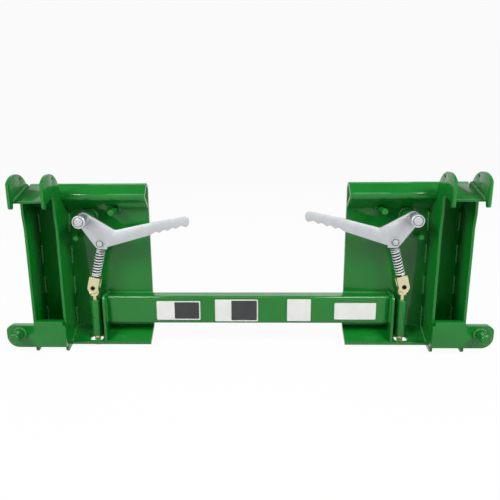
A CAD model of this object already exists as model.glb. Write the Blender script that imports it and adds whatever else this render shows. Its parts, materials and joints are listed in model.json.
"""Looks of a skid steer quick attach plate: green enamel weldment with zinc plated lever locks."""

import json
import logging
import math
import random
from dataclasses import dataclass, field
from enum import Enum

import bpy
from mathutils import Matrix, Vector

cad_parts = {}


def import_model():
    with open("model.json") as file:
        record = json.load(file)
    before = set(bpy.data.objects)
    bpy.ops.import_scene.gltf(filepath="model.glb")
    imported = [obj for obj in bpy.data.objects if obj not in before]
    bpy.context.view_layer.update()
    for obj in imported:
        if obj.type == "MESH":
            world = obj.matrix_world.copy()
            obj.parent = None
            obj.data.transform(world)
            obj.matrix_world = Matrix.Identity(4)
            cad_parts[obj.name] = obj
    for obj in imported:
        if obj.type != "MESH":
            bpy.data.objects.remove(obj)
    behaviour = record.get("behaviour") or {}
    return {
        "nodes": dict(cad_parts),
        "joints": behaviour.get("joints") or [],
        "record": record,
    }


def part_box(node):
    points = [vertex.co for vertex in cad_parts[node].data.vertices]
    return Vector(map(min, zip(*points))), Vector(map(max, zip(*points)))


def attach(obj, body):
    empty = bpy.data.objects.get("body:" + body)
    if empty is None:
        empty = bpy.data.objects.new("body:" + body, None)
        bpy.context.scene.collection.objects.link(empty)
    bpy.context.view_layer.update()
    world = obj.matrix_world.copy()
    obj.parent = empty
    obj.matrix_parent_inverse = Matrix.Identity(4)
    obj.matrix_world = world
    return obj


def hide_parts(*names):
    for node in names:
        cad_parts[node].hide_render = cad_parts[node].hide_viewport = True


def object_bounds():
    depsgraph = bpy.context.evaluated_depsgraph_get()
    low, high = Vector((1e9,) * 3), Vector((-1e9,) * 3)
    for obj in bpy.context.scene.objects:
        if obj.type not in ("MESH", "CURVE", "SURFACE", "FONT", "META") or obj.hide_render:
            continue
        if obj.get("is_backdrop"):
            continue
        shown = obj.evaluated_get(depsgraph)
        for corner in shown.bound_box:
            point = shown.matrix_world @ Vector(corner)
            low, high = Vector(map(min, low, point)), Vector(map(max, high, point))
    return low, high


log = logging.getLogger("attach_plate")
MM = 0.001


class Side(Enum):
    """The two mirrored halves, with the sign of their X."""

    LEFT = -1
    RIGHT = 1

    @property
    def word(self) -> str:
        """Word that starts the half's node names."""
        return self.name.lower()


class Tone(Enum):
    """Linear base colours of the finishes."""

    GREEN = (0.0022, 0.170, 0.015)
    GREEN_DEEP = (0.0012, 0.130, 0.010)
    ZINC = (0.64, 0.665, 0.68)
    ZINC_DULL = (0.45, 0.47, 0.485)
    ZINC_SHADE = (0.13, 0.135, 0.14)
    ZINC_DEEP = (0.09, 0.094, 0.098)
    GOLD = (0.74, 0.68, 0.42)
    GOLD_OLIVE = (0.62, 0.61, 0.34)
    BLACK = (0.014, 0.014, 0.016)
    BLACK_WORN = (0.035, 0.034, 0.036)
    LABEL_WHITE = (0.68, 0.68, 0.66)
    LABEL_GREYED = (0.61, 0.61, 0.585)
    LABEL_DARK = (0.012, 0.013, 0.014)
    LABEL_FADED = (0.026, 0.027, 0.028)
    FLOOR = (0.62, 0.62, 0.62)

    @property
    def rgba(self) -> tuple[float, float, float, float]:
        """The colour with full alpha."""
        return (*self.value, 1.0)


# ------------------------------------------------------------------ shader groups


@dataclass(frozen=True)
class GroupSocket:
    """One named input or output of a shader group."""

    name: str
    kind: str
    default: float | tuple[float, float, float, float] | None = None


@dataclass
class SurfaceGroups:
    """Shader groups that several finishes share, each built once."""

    mottle_detail: float = 3.0
    height_detail: float = 2.0
    smudge_detail: float = 5.0
    smudge_grain: float = 0.62
    smudge_from: tuple[float, float] = (0.35, 0.68)
    middle: float = 0.5
    mottle: bpy.types.NodeTree = field(init=False)
    peel: bpy.types.NodeTree = field(init=False)
    smudge: bpy.types.NodeTree = field(init=False)

    def __post_init__(self) -> None:
        """Builds the groups."""
        self.mottle = self._mottle()
        self.peel = self._peel()
        self.smudge = self._smudge()

    @staticmethod
    def _new(name: str, inputs: list[GroupSocket],
             outputs: list[GroupSocket]) -> bpy.types.NodeTree:
        """Starts a group with its sockets.

        Args:
            name: Name of the group.
            inputs: Sockets that materials set.
            outputs: Sockets that materials read.

        Returns:
            The group with its input and output nodes.
        """
        tree = bpy.data.node_groups.new(name, "ShaderNodeTree")
        for where, sockets in (("INPUT", inputs), ("OUTPUT", outputs)):
            for item in sockets:
                socket = tree.interface.new_socket(item.name, in_out=where, socket_type=item.kind)
                if item.default is not None:
                    socket.default_value = item.default
        tree.nodes.new("NodeGroupInput").name = "in"
        tree.nodes.new("NodeGroupOutput").name = "out"
        return tree

    def _mottle(self) -> bpy.types.NodeTree:
        """Colour that drifts between two tones in soft patches.

        Returns:
            Group with a Color output.
        """
        tree = self._new("soft_mottle", [
            GroupSocket("Scale", "NodeSocketFloat", 30.0),
            GroupSocket("Contrast", "NodeSocketFloat", 0.5),
            GroupSocket("Color A", "NodeSocketColor", Tone.GREEN.rgba),
            GroupSocket("Color B", "NodeSocketColor", Tone.GREEN_DEEP.rgba),
        ], [GroupSocket("Color", "NodeSocketColor")])
        link = tree.links.new
        start, end = tree.nodes["in"], tree.nodes["out"]
        place = tree.nodes.new("ShaderNodeTexCoord")
        noise = tree.nodes.new("ShaderNodeTexNoise")
        noise.inputs["Detail"].default_value = self.mottle_detail
        spread = tree.nodes.new("ShaderNodeMath")
        spread.operation = "MULTIPLY_ADD"
        spread.use_clamp = True
        centre = tree.nodes.new("ShaderNodeMath")
        centre.operation = "SUBTRACT"
        centre.inputs[1].default_value = self.middle
        mix = tree.nodes.new("ShaderNodeMix")
        mix.data_type = "RGBA"
        link(place.outputs["Object"], noise.inputs["Vector"])
        link(start.outputs["Scale"], noise.inputs["Scale"])
        link(noise.outputs["Fac"], centre.inputs[0])
        link(centre.outputs[0], spread.inputs[0])
        link(start.outputs["Contrast"], spread.inputs[1])
        spread.inputs[2].default_value = self.middle
        link(spread.outputs[0], mix.inputs["Factor"])
        link(start.outputs["Color A"], mix.inputs["A"])
        link(start.outputs["Color B"], mix.inputs["B"])
        link(mix.outputs["Result"], end.inputs["Color"])
        return tree

    def _peel(self) -> bpy.types.NodeTree:
        """Height of sprayed paint or plating: fine orange peel over a slow wave.

        Returns:
            Group with a Height output.
        """
        tree = self._new("sprayed_height", [
            GroupSocket("Peel Scale", "NodeSocketFloat", 420.0),
            GroupSocket("Wave Scale", "NodeSocketFloat", 22.0),
            GroupSocket("Wave Share", "NodeSocketFloat", 0.7),
        ], [GroupSocket("Height", "NodeSocketFloat")])
        link = tree.links.new
        start, end = tree.nodes["in"], tree.nodes["out"]
        place = tree.nodes.new("ShaderNodeTexCoord")
        fine = tree.nodes.new("ShaderNodeTexNoise")
        slow = tree.nodes.new("ShaderNodeTexNoise")
        both = tree.nodes.new("ShaderNodeMath")
        both.operation = "MULTIPLY_ADD"
        for noise, scale in ((fine, "Peel Scale"), (slow, "Wave Scale")):
            noise.inputs["Detail"].default_value = self.height_detail
            link(place.outputs["Object"], noise.inputs["Vector"])
            link(start.outputs[scale], noise.inputs["Scale"])
        link(slow.outputs["Fac"], both.inputs[0])
        link(start.outputs["Wave Share"], both.inputs[1])
        link(fine.outputs["Fac"], both.inputs[2])
        link(both.outputs[0], end.inputs["Height"])
        return tree

    def _smudge(self) -> bpy.types.NodeTree:
        """Roughness that changes in handled and dusty patches.

        Returns:
            Group with a Roughness output.
        """
        tree = self._new("handled_roughness", [
            GroupSocket("Low", "NodeSocketFloat", 0.2),
            GroupSocket("High", "NodeSocketFloat", 0.4),
            GroupSocket("Scale", "NodeSocketFloat", 14.0),
        ], [GroupSocket("Roughness", "NodeSocketFloat")])
        link = tree.links.new
        start, end = tree.nodes["in"], tree.nodes["out"]
        place = tree.nodes.new("ShaderNodeTexCoord")
        noise = tree.nodes.new("ShaderNodeTexNoise")
        noise.inputs["Detail"].default_value = self.smudge_detail
        noise.inputs["Roughness"].default_value = self.smudge_grain
        spread = tree.nodes.new("ShaderNodeMapRange")
        spread.inputs["From Min"].default_value = self.smudge_from[0]
        spread.inputs["From Max"].default_value = self.smudge_from[1]
        link(place.outputs["Object"], noise.inputs["Vector"])
        link(start.outputs["Scale"], noise.inputs["Scale"])
        link(noise.outputs["Fac"], spread.inputs["Value"])
        link(start.outputs["Low"], spread.inputs["To Min"])
        link(start.outputs["High"], spread.inputs["To Max"])
        link(spread.outputs["Result"], end.inputs["Roughness"])
        return tree


# ------------------------------------------------------------------------ finishes


@dataclass(frozen=True)
class Finish:
    """A surface finish whose colour, roughness and height come from the shared groups."""

    name: str
    tone_a: Tone
    tone_b: Tone
    metallic: float = 0.0
    rough_low: float = 0.2
    rough_high: float = 0.4
    mottle_scale: float = 30.0
    mottle_contrast: float = 2.0
    peel_scale: float = 420.0
    wave_scale: float = 22.0
    wave_share: float = 0.7
    bump_distance: float = 0.00006
    bump_strength: float = 0.5
    coat: float = 0.0
    coat_roughness: float = 0.08
    shine: float = 0.5

    def build(self, groups: SurfaceGroups) -> bpy.types.Material:
        """Makes the material.

        Args:
            groups: Shared shader groups.

        Returns:
            The material.
        """
        material = bpy.data.materials.new(self.name)
        material.use_nodes = True
        tree = material.node_tree
        link = tree.links.new
        shader = tree.nodes["Principled BSDF"]
        mottle = self._place(tree, groups.mottle, {
            "Scale": self.mottle_scale, "Contrast": self.mottle_contrast,
            "Color A": self.tone_a.rgba, "Color B": self.tone_b.rgba})
        smudge = self._place(tree, groups.smudge, {"Low": self.rough_low, "High": self.rough_high})
        peel = self._place(tree, groups.peel, {
            "Peel Scale": self.peel_scale, "Wave Scale": self.wave_scale,
            "Wave Share": self.wave_share})
        bump = tree.nodes.new("ShaderNodeBump")
        bump.inputs["Strength"].default_value = self.bump_strength
        bump.inputs["Distance"].default_value = self.bump_distance
        link(mottle.outputs["Color"], shader.inputs["Base Color"])
        link(smudge.outputs["Roughness"], shader.inputs["Roughness"])
        link(peel.outputs["Height"], bump.inputs["Height"])
        link(bump.outputs["Normal"], shader.inputs["Normal"])
        shader.inputs["Metallic"].default_value = self.metallic
        shader.inputs["Specular IOR Level"].default_value = self.shine
        shader.inputs["Coat Weight"].default_value = self.coat
        shader.inputs["Coat Roughness"].default_value = self.coat_roughness
        material.diffuse_color = self.tone_a.rgba
        return material

    @staticmethod
    def _place(tree: bpy.types.NodeTree, group: bpy.types.NodeTree,
               values: dict[str, float | tuple[float, float, float, float]]) -> bpy.types.Node:
        """Places a shared group in a material.

        Args:
            tree: Node tree of the material.
            group: Group to place.
            values: Values of the group's inputs.

        Returns:
            The group's node.
        """
        node = tree.nodes.new("ShaderNodeGroup")
        node.node_tree = group
        for name, value in values.items():
            node.inputs[name].default_value = value
        return node


ENAMEL = Finish("green_enamel", Tone.GREEN, Tone.GREEN_DEEP, rough_low=0.38, rough_high=0.5,
                mottle_scale=9.0, mottle_contrast=1.4, bump_distance=0.00014, coat=0.7,
                coat_roughness=0.07, shine=0.12)
WELD_ENAMEL = Finish("green_enamel_on_weld", Tone.GREEN, Tone.GREEN_DEEP, rough_low=0.36,
                     rough_high=0.5, mottle_scale=40.0, mottle_contrast=1.4, bump_distance=0.0001,
                     coat=0.7, coat_roughness=0.28, shine=0.12)
ZINC = Finish("bright_zinc", Tone.ZINC, Tone.ZINC_DULL, metallic=1.0, rough_low=0.42,
              rough_high=0.54, mottle_scale=60.0, mottle_contrast=0.6, peel_scale=1400.0,
              wave_scale=60.0, wave_share=0.5, bump_distance=0.00002, bump_strength=0.4)
ZINC_IN_SHADE = Finish("rod_zinc", Tone.ZINC_SHADE, Tone.ZINC_DEEP, metallic=1.0, rough_low=0.4,
                       rough_high=0.55, bump_distance=0.00003)
SPRING_ZINC = Finish("spring_zinc", Tone.ZINC, Tone.ZINC_DULL, metallic=0.2, rough_low=0.34,
                     rough_high=0.46, mottle_scale=120.0, mottle_contrast=1.2,
                     peel_scale=1800.0, bump_distance=0.00003)
GOLD = Finish("yellow_zinc", Tone.GOLD, Tone.GOLD_OLIVE, metallic=1.0, rough_low=0.26,
              rough_high=0.42, mottle_scale=90.0, mottle_contrast=2.2, peel_scale=1600.0,
              bump_distance=0.00004)
BLACK_STEEL = Finish("black_oxide", Tone.BLACK, Tone.BLACK_WORN, metallic=0.6, rough_low=0.4,
                     rough_high=0.6, bump_distance=0.00003)
LABEL_PALE = Finish("pale_vinyl", Tone.LABEL_WHITE, Tone.LABEL_GREYED, rough_low=0.3,
                    rough_high=0.42, bump_distance=0.00002, coat=0.2)
LABEL_INK = Finish("dark_vinyl", Tone.LABEL_DARK, Tone.LABEL_FADED, rough_low=0.3,
                   rough_high=0.42, bump_distance=0.00002, coat=0.2)


# --------------------------------------------------------------------- bench tools


class Bench:
    """Plain modelling steps with Blender's own operators."""

    @staticmethod
    def clear() -> None:
        """Leaves edit mode and deselects everything."""
        if bpy.context.object and bpy.context.object.mode != "OBJECT":
            bpy.ops.object.mode_set(mode="OBJECT")
        bpy.ops.object.select_all(action="DESELECT")

    @staticmethod
    def only(piece: bpy.types.Object) -> None:
        """Selects one piece and makes it active.

        Args:
            piece: Piece to select.
        """
        Bench.clear()
        piece.select_set(True)
        bpy.context.view_layer.objects.active = piece

    @staticmethod
    def settle(piece: bpy.types.Object) -> bpy.types.Object:
        """Applies a piece's place, turn and size to its mesh.

        Args:
            piece: Piece in its place.

        Returns:
            The same piece, with its object at the origin.
        """
        Bench.only(piece)
        bpy.ops.object.transform_apply(location=True, rotation=True, scale=True)
        return piece

    @staticmethod
    def apply(piece: bpy.types.Object) -> bpy.types.Object:
        """Applies a piece's modifiers in order.

        Args:
            piece: Piece with modifiers.

        Returns:
            The same piece.
        """
        Bench.only(piece)
        for modifier in list(piece.modifiers):
            bpy.ops.object.modifier_apply(modifier=modifier.name)
        return piece

    @staticmethod
    def join(pieces: list[bpy.types.Object], name: str) -> bpy.types.Object:
        """Joins pieces into one.

        Args:
            pieces: Pieces to join.
            name: Name of the result.

        Returns:
            The joined piece.
        """
        Bench.only(pieces[0])
        for piece in pieces[1:]:
            piece.select_set(True)
        if len(pieces) > 1:
            bpy.ops.object.join()
        piece = bpy.context.view_layer.objects.active
        piece.name = name
        piece.data.name = name
        return piece

    @staticmethod
    def twin(piece: bpy.types.Object, name: str) -> bpy.types.Object:
        """Copies a piece, with its own mesh.

        Args:
            piece: Piece to copy.
            name: Name of the copy.

        Returns:
            The copy.
        """
        copy = piece.copy()
        copy.data = piece.data.copy()
        copy.name = name
        copy.data.name = name
        bpy.context.collection.objects.link(copy)
        return copy

    @staticmethod
    def discard(piece: bpy.types.Object) -> None:
        """Takes a pattern piece away once its copies are made."""
        bpy.data.meshes.remove(piece.data)

    @staticmethod
    def close(threshold: float) -> None:
        """Merges doubles, fills open ends and turns faces outwards, in edit mode.

        Args:
            threshold: Distance in metres below which two points become one.
        """
        bpy.ops.mesh.select_all(action="SELECT")
        bpy.ops.mesh.remove_doubles(threshold=threshold)
        bpy.ops.mesh.fill_holes(sides=0)
        bpy.ops.mesh.select_all(action="SELECT")
        bpy.ops.mesh.normals_make_consistent(inside=False)

    @staticmethod
    def dress(piece: bpy.types.Object, material: bpy.types.Material) -> None:
        """Gives a piece one material."""
        piece.data.materials.clear()
        piece.data.materials.append(material)

    @staticmethod
    def mount(piece: bpy.types.Object, body: str, slot: str) -> None:
        """Makes a finished piece ride on a body and names its material slot.

        Args:
            piece: Piece in its place, with its transforms applied.
            body: Body that carries it.
            slot: Material slot of the record.
        """
        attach(piece, body)
        log.info("piece %s rides on %s", piece.name, body)


@dataclass
class Datum:
    """Place of the drawing's datum: loader side of the face plates, near the lips' low edge."""

    forward: float = 108.75
    down: float = 371.4945

    def at(self, x: float, y: float, z: float) -> Vector:
        """Point in metres in the part's frame from millimetres at the datum."""
        return Vector((x, y + self.forward, z - self.down)) * MM


# --------------------------------------------------------------------------- welds


@dataclass
class WeldShop:
    """Lays fillet welds as rows of overlapping ripples.

    Lengths are in millimetres. Throat and lift are shares of the leg, the lean is in degrees.
    """

    leg: float = 8.5
    pitch: float = 2.7
    ripple: float = 4.6
    throat: float = 0.6
    lean: float = 24.0
    lift: float = 0.12
    ripple_sides: int = 8
    ripple_rings: int = 6
    shortest_run: int = 2
    shortest_ring: int = 8
    uneven_size: float = 0.1
    uneven_place: tuple[float, float, float] = (0.4, 0.3, 0.3)
    seed: int = 7
    draw: random.Random = field(init=False)
    ripple_pattern: bpy.types.Object = field(init=False)
    beads: list[bpy.types.Object] = field(default_factory=list)

    def __post_init__(self) -> None:
        """Starts the seeded draws that make the ripples uneven, and models the ripple."""
        self.draw = random.Random(self.seed)
        self.ripple_pattern = self._coin()

    def _coin(self) -> bpy.types.Object:
        """One ripple at the origin, across X.

        Returns:
            The ripple.
        """
        Bench.clear()
        bpy.ops.mesh.primitive_uv_sphere_add(segments=self.ripple_sides,
                                             ring_count=self.ripple_rings, radius=1.0)
        coin = bpy.context.object
        half = self.leg * self.throat * MM
        coin.scale = (self.ripple * MM, half, half)
        coin.rotation_euler = (0.0, math.radians(self.lean), 0.0)
        Bench.settle(coin)
        bpy.ops.object.shade_smooth()
        return coin

    def _unsettle(self, bead: bpy.types.Object, per_coin: int) -> None:
        """Makes each ripple of a row a little different.

        Args:
            bead: Row of ripples.
            per_coin: Number of points of one ripple.
        """
        points = bead.data.vertices
        for first in range(0, len(points), per_coin):
            grow = 1.0 + self.draw.uniform(-self.uneven_size, self.uneven_size)
            slip = Vector([self.draw.uniform(-reach, reach) for reach in self.uneven_place]) * MM
            group = points[first:first + per_coin]
            middle = sum((p.co for p in group), Vector()) / len(group)
            for point in group:
                point.co = middle + (point.co - middle) * grow + slip

    def run(self, start: Vector, end: Vector, facing: Vector) -> None:
        """Lays a straight bead in a corner.

        Args:
            start: One end of the corner line.
            end: Other end of the corner line.
            facing: Direction out of the corner.
        """
        along = end - start
        count = max(self.shortest_run, int(along.length / (self.pitch * MM)))
        bead = Bench.twin(self.ripple_pattern, "bead")
        per_coin = len(bead.data.vertices)
        row = bead.modifiers.new("row", "ARRAY")
        row.count = count
        row.use_relative_offset = False
        row.use_constant_offset = True
        row.constant_offset_displace = (along.length / count, 0.0, 0.0)
        Bench.apply(bead)
        self._unsettle(bead, per_coin)
        x = along.normalized()
        z = (facing - x * facing.dot(x)).normalized()
        y = z.cross(x)
        turn = Matrix((x, y, z)).transposed().to_4x4()
        inset = self.pitch * MM / 2
        spot = start + x * inset + z * self.leg * self.lift * MM
        bead.matrix_world = Matrix.Translation(spot) @ turn
        self.beads.append(Bench.settle(bead))

    def stitch(self, start: Vector, end: Vector, facing: Vector, count: int,
               length: float) -> None:
        """Lays short beads with even gaps along a corner.

        Args:
            start: One end of the corner line.
            end: Other end of the corner line.
            facing: Direction out of the corner.
            count: Number of short beads.
            length: Length of one bead in millimetres.
        """
        along = (end - start).normalized()
        free = (end - start).length - length * MM
        for i in range(count):
            spot = start + along * free * (i / max(1, count - 1))
            self.run(spot, spot + along * length * MM, facing)

    def ring(self, centre: Vector, axis: Vector, radius: float) -> None:
        """Lays a bead round a bar where it meets a plate.

        Args:
            centre: Point of the bar's axis on the plate.
            axis: Direction of the bar away from the plate.
            radius: Radius of the bar in metres.
        """
        count = max(self.shortest_ring, int(2 * math.pi * radius / (self.pitch * MM)))
        z = axis.normalized()
        x = z.orthogonal().normalized()
        y = z.cross(x)
        lift = self.leg * self.lift * MM
        coins = [Bench.twin(self.ripple_pattern, "coin") for _ in range(count)]
        for i, coin in enumerate(coins):
            angle = 2 * math.pi * i / count
            out = x * math.cos(angle) + y * math.sin(angle)
            along = z.cross(out)
            facing = (out + z).normalized()
            turn = Matrix((along, facing.cross(along), facing)).transposed().to_4x4()
            spot = centre + out * (radius + lift) + z * lift
            coin.matrix_world = Matrix.Translation(spot) @ turn
        bead = Bench.join(coins, "ring")
        self.beads.append(Bench.settle(bead))

    def gather(self, name: str, material: bpy.types.Material) -> None:
        """Joins the beads laid so far into one piece that rides on the carrier.

        Args:
            name: Name of the piece.
            material: Finish of the welds.
        """
        piece = Bench.join(self.beads, name)
        self.beads = []
        Bench.dress(piece, material)
        Bench.mount(piece, "carrier", "green_paint")

    def shut(self) -> None:
        """Takes the ripple's pattern away after the last bead."""
        Bench.discard(self.ripple_pattern)


@dataclass
class CarrierWelds:
    """Fillet welds of one half of the carrier, by the corners that they fill.

    Pairs are depth and height in the side view, as places or as directions out of a corner.
    """

    side: Side
    datum: Datum
    lip_root: float = 33.0
    lip_slope: float = 0.57735
    lip_start: tuple[float, float] = (-3.0, 31.0)
    lip_end: float = -50.0
    lip_out: tuple[float, float] = (-0.5, 0.87)
    rib_low: float = 37.0
    rib_high: float = 344.0
    gusset_low: float = 36.0
    gusset_high: float = 131.0
    saddle_front: tuple[float, float] = (-131.0, 394.9)
    saddle_back: tuple[float, float] = (-52.0, 423.0)
    saddle_out: tuple[float, float] = (-0.34, 0.94)
    bar_back: float = -71.0
    bar_front: float = -90.0
    bar_low: float = 6.0
    bar_high: float = 62.0
    rib_stitches: int = 4
    stitch_length: float = 48.0

    def corners(self) -> dict[str, tuple[float, float]]:
        """Finds where the upright plates of this half stand.

        Returns:
            Inner and outer X of each plate, without sign, in millimetres.
        """
        found = {}
        for name in ("outer_rib", "inner_rib", "gusset"):
            low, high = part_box(f"{self.side.word}_{name}")
            found[name] = tuple(sorted((abs(low.x) / MM, abs(high.x) / MM)))
        return found

    def point(self, x: float, y: float, z: float) -> Vector:
        """Point of this half from a distance to the middle plane."""
        return self.datum.at(self.side.value * x, y, z)

    def lay(self, shop: WeldShop) -> None:
        """Lays all beads of this half.

        Args:
            shop: Shop that makes the beads.
        """
        spans = self.corners()
        across = float(self.side.value)
        inner, outer = spans["inner_rib"], spans["outer_rib"]
        recess = ((inner[1], across), (outer[0], -across))
        for x, way in ((inner[0], -across), *recess):
            self._rib(shop, x, way)
        for x, way in recess:
            shop.run(self.point(x, *self.saddle_front), self.point(x, *self.saddle_back),
                     Vector((way, *self.saddle_out)))
            shop.run(self.point(x, self.bar_back, self.bar_low),
                     self.point(x, self.bar_back, self.bar_high), Vector((way, 1.0, 0.0)))
        outside = spans["gusset"][1]
        shop.run(self.point(outside, 0, self.gusset_low), self.point(outside, 0, self.gusset_high),
                 Vector((across, -1, 0)))
        for name in ("pivot_post", "lock_stop", "open_stop"):
            self._round(shop, name, 0.0)
        self._round(shop, "stub_pin", self.bar_front)

    def _rib(self, shop: WeldShop, x: float, way: float) -> None:
        """Lays the beads of one rib face along the plate and down the lip.

        Args:
            shop: Shop that makes the beads.
            x: Distance of the face to the middle plane.
            way: Sign of the face's outward X.
        """
        shop.stitch(self.point(x, 0, self.rib_low), self.point(x, 0, self.rib_high),
                    Vector((way, -1, 0)), self.rib_stitches, self.stitch_length)
        end_z = self.lip_root + self.lip_end * self.lip_slope
        shop.run(self.point(x, self.lip_end, end_z), self.point(x, *self.lip_start),
                 Vector((way, *self.lip_out)))

    def _round(self, shop: WeldShop, name: str, depth: float) -> None:
        """Lays the bead round a bar that stands on a plate.

        Args:
            shop: Shop that makes the beads.
            name: Node of the bar, without its side.
            depth: Depth of the plate's face in millimetres.
        """
        low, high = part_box(f"{self.side.word}_{name}")
        middle = (low + high) / 2
        foot = Vector((middle.x, self.datum.at(0, depth, 0).y, middle.z))
        shop.ring(foot, Vector((0, -1, 0)), (high.x - low.x) / 2)


@dataclass(frozen=True)
class CrossTube:
    """Faces of the cross tube at the datum, in millimetres."""

    end: float = 378.95
    top: float = 126.9
    bottom: float = 50.7
    front: float = -38.1
    corner: float = 6.0


@dataclass
class TubeWelds:
    """Fillet welds between the cross tube and the plates and gussets, in millimetres."""

    datum: Datum
    tube: CrossTube
    plate_edge: float = 260.0
    end_gap: float = 2.0
    sunk: float = 3.0
    lean: float = -0.6

    def lay(self, shop: WeldShop) -> None:
        """Lays all beads of the tube.

        Args:
            shop: Shop that makes the beads.
        """
        at, tube = self.datum.at, self.tube
        front = tube.front
        for side in Side:
            s = side.value
            edge, end = s * self.plate_edge, s * (tube.end - self.end_gap)
            for z, up in ((tube.top - self.sunk, 1), (tube.bottom + self.sunk, -1)):
                shop.run(at(edge, 0, z), at(end, 0, z), Vector((0, self.lean, up)))
            end = s * tube.end
            shop.run(at(end, -self.sunk, tube.top), at(end, front + tube.corner, tube.top),
                     Vector((-s, 0, 1)))
            shop.run(at(end, front, tube.top - tube.corner),
                     at(end, front, tube.bottom + tube.corner), Vector((-s, -1, 0)))


# ------------------------------------------------------------------------- springs


@dataclass
class CoilSpring:
    """Compression spring round a rod, with closed coils at both ends, in millimetres."""

    coil_radius: float = 10.2
    wire: float = 3.8
    free_turns: float = 8.0
    closed_turns: float = 1.25
    closed_pitch: float = 3.95
    from_link: float = 22.5
    from_clevis: float = 29.8
    steps: int = 30
    sides: int = 12
    merge: float = 0.02
    smooth_angle: float = 50.0
    shaded_below: float = -0.1

    def _coil(self, turns: float, rise: float, start_turn: float,
              base: float) -> bpy.types.Object:
        """Stretch of coil with one pitch, made by a screw of the wire's section.

        Args:
            turns: Number of turns.
            rise: Height gained in millimetres.
            start_turn: Turns before this stretch.
            base: Height of its first section.

        Returns:
            The stretch as a mesh piece.
        """
        Bench.clear()
        bpy.ops.mesh.primitive_circle_add(vertices=self.sides, radius=self.wire / 2 * MM,
                                          location=(self.coil_radius * MM, 0, 0),
                                          rotation=(math.pi / 2, 0, 0))
        stretch = Bench.settle(bpy.context.object)
        screw = stretch.modifiers.new("coil", "SCREW")
        screw.angle = 2 * math.pi * turns
        screw.screw_offset = rise * MM
        screw.steps = round(self.steps * turns)
        screw.render_steps = screw.steps
        Bench.apply(stretch)
        stretch.rotation_euler = (0, 0, 2 * math.pi * start_turn)
        stretch.location = (0, 0, base * MM)
        return Bench.settle(stretch)

    def _wind(self, length: float, wire: bpy.types.Material,
              inside: bpy.types.Material) -> bpy.types.Object:
        """Winds the spring upright on the origin.

        Args:
            length: Length between its seats in millimetres.
            wire: Finish of the wire.
            inside: Oily finish of the wire's side towards the rod.

        Returns:
            The spring.
        """
        closed = self.closed_turns * self.closed_pitch
        base = self.wire / 2
        turn = 0.0
        stretches = []
        for turns, rise in ((self.closed_turns, closed),
                            (self.free_turns, length - self.wire - 2 * closed),
                            (self.closed_turns, closed)):
            stretches.append(self._coil(turns, rise, turn, base))
            turn += turns
            base += rise
        spring = Bench.join(stretches, "coil_spring")
        bpy.ops.object.mode_set(mode="EDIT")
        Bench.close(self.merge * MM)
        bpy.ops.object.mode_set(mode="OBJECT")
        bpy.ops.object.shade_smooth_by_angle(angle=math.radians(self.smooth_angle))
        spring.data.materials.append(wire)
        spring.data.materials.append(inside)
        for face in spring.data.polygons:
            outward = Vector((face.center.x, face.center.y, 0)).normalized()
            face.material_index = int(face.normal.dot(outward) < self.shaded_below)
        return spring

    def build(self, joints: list[dict], wire: bpy.types.Material,
              inside: bpy.types.Material) -> None:
        """Makes the springs of both levers in place of their plain solids.

        Args:
            joints: Joints of the frame.
            wire: Finish of the wire.
            inside: Oily finish of the wire's side towards the rod.
        """
        spots = {joint["name"]: Vector(joint["pos_m"]) for joint in joints if "pos_m" in joint}
        pattern = None
        for side in Side:
            link, clevis = spots[f"{side.word}_link_swing"], spots[f"{side.word}_yoke_swing"]
            if pattern is None:
                length = (link - clevis).length / MM - self.from_link - self.from_clevis
                pattern = self._wind(length, wire, inside)
            spring = Bench.twin(pattern, f"{side.word}_coil_spring")
            axis = (link - clevis).normalized()
            spring.rotation_mode = "QUATERNION"
            spring.rotation_quaternion = axis.to_track_quat("Z", "Y")
            spring.location = clevis + axis * self.from_clevis * MM
            Bench.settle(spring)
            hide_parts(f"{side.word}_spring")
            Bench.mount(spring, f"{side.word}_link", "spring_steel")
        Bench.discard(pattern)


# -------------------------------------------------------------------------- labels


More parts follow.
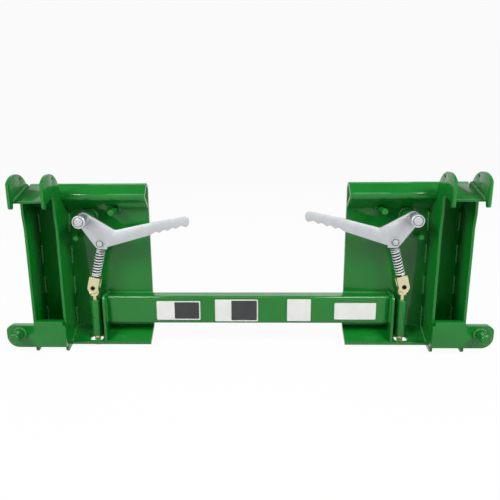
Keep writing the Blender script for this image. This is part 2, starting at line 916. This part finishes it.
@dataclass
class BlankLabel:
    """Vinyl label without any print on the tube's front: pale, with a plain dark field.

    Edges are in millimetres. The field starts at a share of the width, and 1 leaves it out.
    """

    name: str
    left: float
    right: float
    low: float
    high: float
    field_from: float = 1.0
    margin: float = 3.0
    corner: float = 2.5
    corner_steps: int = 4
    thickness: float = 0.25
    field_lift: float = 1.3
    solid_share: float = 0.9

    def _sheet(self, left: float, right: float, low: float, high: float, lift: float,
               datum: Datum, front: float) -> bpy.types.Object:
        """Rounded sheet that lies on the tube's front.

        Args:
            left: Left edge in millimetres.
            right: Right edge.
            low: Lower edge.
            high: Upper edge.
            lift: Height of its face over the tube.
            datum: Place of the drawing's datum.
            front: Depth of the tube's front face.

        Returns:
            The sheet.
        """
        Bench.clear()
        bpy.ops.mesh.primitive_plane_add(size=1.0, rotation=(math.pi / 2, 0, 0))
        sheet = bpy.context.object
        sheet.scale = ((right - left) * MM, (high - low) * MM, 1.0)
        sheet.location = datum.at((left + right) / 2, front - lift, (low + high) / 2)
        Bench.settle(sheet)
        bpy.ops.object.mode_set(mode="EDIT")
        bpy.ops.mesh.select_all(action="SELECT")
        bpy.ops.mesh.bevel(offset=self.corner * MM, segments=self.corner_steps,
                           affect="VERTICES")
        bpy.ops.mesh.select_all(action="SELECT")
        depth = lift * self.solid_share * MM
        bpy.ops.mesh.extrude_region_move(TRANSFORM_OT_translate={"value": (0, depth, 0)})
        bpy.ops.mesh.select_all(action="SELECT")
        bpy.ops.mesh.normals_make_consistent(inside=False)
        bpy.ops.object.mode_set(mode="OBJECT")
        return sheet

    def build(self, datum: Datum, front: float, pale: bpy.types.Material,
              dark: bpy.types.Material) -> None:
        """Makes the label and its dark field.

        Args:
            datum: Place of the drawing's datum.
            front: Depth of the tube's front face in millimetres.
            pale: Finish of the vinyl.
            dark: Finish of the field.
        """
        label = self._sheet(self.left, self.right, self.low, self.high, self.thickness,
                            datum, front)
        label.name = self.name
        Bench.dress(label, pale)
        Bench.mount(label, "carrier", "green_paint")
        if self.field_from < 1.0:
            start = self.left + (self.right - self.left) * self.field_from
            patch = self._sheet(start, self.right - self.margin, self.low + self.margin,
                                self.high - self.margin, self.thickness * self.field_lift,
                                datum, front)
            patch.name = f"{self.name}_field"
            Bench.dress(patch, dark)
            Bench.mount(patch, "carrier", "green_paint")


LABELS = (BlankLabel("label_a", -242.0, -125.5, 61.0, 113.5, 0.41),
          BlankLabel("label_b", -86.0, 28.0, 57.0, 118.0, 0.38),
          BlankLabel("label_c", 105.5, 167.5, 58.0, 119.0),
          BlankLabel("label_d", 230.0, 339.0, 62.5, 108.5))


# ------------------------------------------------------------------- lever details


@dataclass(frozen=True)
class TurnedRing:
    """Ring or disc on the end face of a round piece, drawn out of a circle step by step.

    The profile's pairs are radius and height over the face, in millimetres.
    """

    name: str
    node: str
    slot: str
    profile: tuple[tuple[float, float], ...]
    sides: int = 48
    merge: float = 0.01
    smooth_angle: float = 35.0

    def turn(self, material: bpy.types.Material) -> bpy.types.Object:
        """Makes the ring at the origin, with its face towards the loader.

        Args:
            material: Finish of the ring.

        Returns:
            The ring.
        """
        Bench.clear()
        radius, height = self.profile[0]
        bpy.ops.mesh.primitive_circle_add(vertices=self.sides, radius=radius * MM,
                                          location=(0, 0, height * MM))
        ring = Bench.settle(bpy.context.object)
        bpy.ops.object.mode_set(mode="EDIT")
        bpy.ops.mesh.select_all(action="SELECT")
        for wider, higher in self.profile[1:]:
            rise = (higher - height) * MM
            bpy.ops.mesh.extrude_region_move(TRANSFORM_OT_translate={"value": (0, 0, rise)})
            grow = wider / radius
            bpy.ops.transform.resize(value=(grow, grow, 1), center_override=(0, 0, 0))
            radius, height = wider, higher
        Bench.close(self.merge * MM)
        bpy.ops.object.mode_set(mode="OBJECT")
        ring.rotation_euler = (math.pi / 2, 0, 0)
        Bench.settle(ring)
        bpy.ops.object.shade_smooth_by_angle(angle=math.radians(self.smooth_angle))
        Bench.dress(ring, material)
        return ring

    def build(self, material: bpy.types.Material) -> None:
        """Puts one ring on each lever.

        Args:
            material: Finish of the rings.
        """
        pattern = self.turn(material)
        for side in Side:
            low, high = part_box(f"{side.word}_{self.node}")
            ring = Bench.twin(pattern, f"{side.word}_{self.name}")
            ring.location = ((low.x + high.x) / 2, low.y, (low.z + high.z) / 2)
            Bench.mount(Bench.settle(ring), f"{side.word}_lever", self.slot)
        Bench.discard(pattern)


HUB_RIM = TurnedRing("hub_rim", "lever_hub", "zinc_steel",
                     ((12.4, -0.3), (12.6, 0.35), (13.2, 0.6), (14.6, 0.6), (15.2, 0.3),
                      (15.3, -0.3), (12.4, -0.3)))
HUB_SEAM = TurnedRing("hub_seam", "lever_hub", "dark_steel",
                      ((10.8, -0.2), (10.9, 0.12), (12.3, 0.12), (12.5, -0.2), (10.8, -0.2)))
SHAFT_END = TurnedRing("shaft_end", "lever_hub", "zinc_steel",
                       ((10.9, -0.2), (10.2, 0.3), (8.0, 0.55), (4.0, 0.7)))
PIN_GROOVE = TurnedRing("pin_groove", "link_pin", "dark_steel",
                        ((7.3, -0.2), (7.35, 0.06), (9.0, 0.06), (9.05, -0.2), (7.3, -0.2)))


# ---------------------------------------------------------------------- the studio


@dataclass(frozen=True)
class Lamp:
    """Square soft lamp."""

    name: str
    spot: tuple[float, float, float]
    size: float
    power: float

    def hang(self, aim: Vector) -> None:
        """Makes the lamp and points it at a place.

        Args:
            aim: Place that it lights.
        """
        data = bpy.data.lights.new(self.name, "AREA")
        data.shape = "SQUARE"
        data.size = self.size
        data.energy = self.power
        lamp = bpy.data.objects.new(self.name, data)
        bpy.context.collection.objects.link(lamp)
        lamp.location = self.spot
        lamp.rotation_mode = "QUATERNION"
        lamp.rotation_quaternion = (aim - Vector(self.spot)).to_track_quat("-Z", "Y")


@dataclass
class Studio:
    """Pale floor, soft light and the camera that matches the photograph.

    Places are in metres and angles in degrees. The cove's pairs are radius and height.
    """

    lens: float = 35.714
    sensor: float = 36.0
    clip: tuple[float, float] = (0.05, 50.0)
    shift: tuple[float, float] = (0.0212, -0.0123)
    position: tuple[float, float, float] = (0.01369, -1.17608, 0.18102)
    pitch: float = 12.8
    yaw: float = 1.54
    roll: float = -0.48
    floor_drop: float = 0.0008
    cove: tuple[tuple[float, float], ...] = ((9.0, 6.6), (9.0, 3.0), (8.88, 1.9), (8.56, 1.1),
                                             (8.0, 0.52), (7.3, 0.18), (6.6, 0.04), (6.0, 0.0))
    cove_sides: int = 96
    cove_roughness: float = 0.9
    glow_share: float = 0.95
    sky: tuple[float, float, float, float] = (0.88, 0.93, 1.0, 1.0)
    sky_strength: float = 0.15
    lamps: tuple[Lamp, ...] = (Lamp("left_key", (-1.7, -1.2, 1.45), 1.0, 55.0),
                               Lamp("right_key", (1.7, -1.2, 1.45), 1.0, 55.0),
                               Lamp("top", (0.0, -1.9, 2.35), 1.3, 16.0),
                               Lamp("back_fill", (0.0, 2.4, 2.5), 3.2, 40.0))
    aim: tuple[float, float, float] = (0.0, 0.05, -0.15)

    def build(self, lowest: float) -> None:
        """Makes cove, world, lamps and camera.

        Args:
            lowest: Height of the object's lowest point.
        """
        self._cove(lowest)
        self._world()
        for lamp in self.lamps:
            lamp.hang(Vector(self.aim))
        self._camera()
        bpy.context.scene.view_settings.view_transform = "Standard"

    @staticmethod
    def _seen(tree: bpy.types.NodeTree) -> bpy.types.NodeSocket:
        """Share of rays that show the background: those of the camera, of metal and of glass.

        Args:
            tree: Node tree of the backdrop.

        Returns:
            Socket that is 1 for such a ray and 0 for light on the object.
        """
        rays = tree.nodes.new("ShaderNodeLightPath")
        total = rays.outputs["Is Camera Ray"]
        for name in ("Is Glossy Ray", "Is Transmission Ray"):
            both = tree.nodes.new("ShaderNodeMath")
            both.operation = "ADD"
            both.use_clamp = True
            tree.links.new(total, both.inputs[0])
            tree.links.new(rays.outputs[name], both.inputs[1])
            total = both.outputs[0]
        return total

    def _cove(self, lowest: float) -> None:
        """Makes the floor with its round backdrop, white where it is seen but still shaded.

        Args:
            lowest: Height of the object's lowest point.
        """
        Bench.clear()
        radius, height = self.cove[0]
        bpy.ops.mesh.primitive_circle_add(vertices=self.cove_sides, radius=radius,
                                          location=(0, 0, height))
        cove = Bench.settle(bpy.context.object)
        cove.name = "studio_floor"
        bpy.ops.object.mode_set(mode="EDIT")
        bpy.ops.mesh.select_all(action="SELECT")
        for inner, lower in self.cove[1:]:
            drop = lower - height
            bpy.ops.mesh.extrude_region_move(TRANSFORM_OT_translate={"value": (0, 0, drop)})
            grow = inner / radius
            bpy.ops.transform.resize(value=(grow, grow, 1), center_override=(0, 0, 0))
            radius, height = inner, lower
        bpy.ops.mesh.edge_face_add()
        bpy.ops.object.mode_set(mode="OBJECT")
        cove.location.z = lowest - self.floor_drop
        Bench.settle(cove)
        bpy.ops.object.shade_smooth()
        Bench.dress(cove, self._white())
        cove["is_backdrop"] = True

    def _white(self) -> bpy.types.Material:
        """Makes the backdrop's material.

        Returns:
            Pale matt paint that glows for the rays that show the background.
        """
        material = bpy.data.materials.new("studio_white")
        material.use_nodes = True
        tree = material.node_tree
        shader = tree.nodes["Principled BSDF"]
        shader.inputs["Base Color"].default_value = Tone.FLOOR.rgba
        shader.inputs["Roughness"].default_value = self.cove_roughness
        glow = tree.nodes.new("ShaderNodeEmission")
        glow.inputs["Strength"].default_value = 1.0
        mix = tree.nodes.new("ShaderNodeMixShader")
        share = tree.nodes.new("ShaderNodeMath")
        share.operation = "MULTIPLY"
        share.inputs[1].default_value = self.glow_share
        tree.links.new(self._seen(tree), share.inputs[0])
        tree.links.new(share.outputs[0], mix.inputs["Fac"])
        tree.links.new(shader.outputs["BSDF"], mix.inputs[1])
        tree.links.new(glow.outputs["Emission"], mix.inputs[2])
        tree.links.new(mix.outputs["Shader"], tree.nodes["Material Output"].inputs["Surface"])
        return material

    def _world(self) -> None:
        """Makes the soft light that comes from above the backdrop."""
        world = bpy.data.worlds.new("studio_world")
        bpy.context.scene.world = world
        world.use_nodes = True
        soft = world.node_tree.nodes["Background"]
        soft.inputs["Color"].default_value = self.sky
        soft.inputs["Strength"].default_value = self.sky_strength

    def _camera(self) -> None:
        """Makes the camera from the angles fitted to the photograph."""
        yaw, pitch, roll = (math.radians(a) for a in (self.yaw, self.pitch, self.roll))
        right = Vector((math.cos(yaw), math.sin(yaw), 0))
        level = Vector((-math.sin(yaw), math.cos(yaw), 0))
        ahead = level * math.cos(pitch) - Vector((0, 0, 1)) * math.sin(pitch)
        up = level * math.sin(pitch) + Vector((0, 0, 1)) * math.cos(pitch)
        side = right * math.cos(roll) + up * math.sin(roll)
        top = up * math.cos(roll) - right * math.sin(roll)
        data = bpy.data.cameras.new("camera")
        data.lens = self.lens
        data.sensor_width = self.sensor
        data.shift_x, data.shift_y = self.shift
        data.clip_start, data.clip_end = self.clip
        camera = bpy.data.objects.new("camera", data)
        bpy.context.collection.objects.link(camera)
        turn = Matrix((side, top, -ahead)).transposed().to_4x4()
        camera.matrix_world = Matrix.Translation(Vector(self.position)) @ turn
        bpy.context.scene.camera = camera


# ----------------------------------------------------------- dressing of the solids


@dataclass
class NodeDresser:
    """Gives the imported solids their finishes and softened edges, in millimetres."""

    finishes: dict[str, bpy.types.Material]
    plate_edge: float = 0.7
    small_edge: float = 0.35
    edge_angle: float = 32.0
    edge_steps: int = 2
    merge: float = 0.002

    def finish_of(self, node: str, slot: str) -> bpy.types.Material:
        """Finish of a node by its material slot, duller for the rods inside the springs."""
        return self.finishes["rod" if node.endswith("link_rod") else slot]

    def dress(self, nodes: dict[str, bpy.types.Object], slots: dict[str, str]) -> None:
        """Dresses every node.

        Args:
            nodes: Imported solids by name.
            slots: Material slot of each node.
        """
        for name, node in nodes.items():
            material = self.finish_of(name, slots[name])
            for slot in node.material_slots:
                slot.material = material
            if not node.material_slots:
                node.data.materials.append(material)
            plate = slots[name] == "green_paint"
            self._soften(node, self.plate_edge if plate else self.small_edge)

    def _soften(self, node: bpy.types.Object, width: float) -> None:
        """Rounds a node's edges with live modifiers, which leave its own mesh alone.

        Args:
            node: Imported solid.
            width: Width of the rounding in millimetres.
        """
        node.data.polygons.foreach_set("use_smooth", [True] * len(node.data.polygons))
        weld = node.modifiers.new("weld", "WELD")
        weld.merge_threshold = self.merge * MM
        bevel = node.modifiers.new("edge", "BEVEL")
        bevel.width = width * MM
        bevel.segments = self.edge_steps
        bevel.limit_method = "ANGLE"
        bevel.angle_limit = math.radians(self.edge_angle)
        bevel.harden_normals = True
        bevel.use_clamp_overlap = True


def build_finishes() -> dict[str, bpy.types.Material]:
    """Makes the materials.

    Returns:
        Materials by the record's slot, with those of welds and labels beside them.
    """
    groups = SurfaceGroups()
    plan = {"green_paint": ENAMEL, "weld": WELD_ENAMEL, "zinc_steel": ZINC,
            "spring_steel": SPRING_ZINC, "yellow_zinc": GOLD, "dark_steel": BLACK_STEEL,
            "label": LABEL_PALE, "label_dark": LABEL_INK, "rod": ZINC_IN_SHADE}
    return {name: finish.build(groups) for name, finish in plan.items()}


def main() -> None:
    """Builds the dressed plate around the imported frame."""
    logging.basicConfig(level=logging.INFO, format="%(message)s")
    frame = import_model()
    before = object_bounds()
    finishes = build_finishes()
    slots = {part["node"]: part["material_slot"] for part in frame["record"]["subparts"]}
    NodeDresser(finishes).dress(frame["nodes"], slots)
    datum = Datum()
    shop = WeldShop()
    for side in Side:
        CarrierWelds(side, datum).lay(shop)
        shop.gather(f"{side.word}_plate_welds", finishes["weld"])
    tube = CrossTube()
    TubeWelds(datum, tube).lay(shop)
    shop.gather("tube_welds", finishes["weld"])
    shop.shut()
    CoilSpring().build(frame["joints"], finishes["spring_steel"], finishes["rod"])
    for ring in (HUB_RIM, HUB_SEAM, SHAFT_END, PIN_GROOVE):
        ring.build(finishes[ring.slot])
    for label in LABELS:
        label.build(datum, tube.front, finishes["label"], finishes["label_dark"])
    Studio().build(before[0].z)


if __name__ == "__main__":
    main()
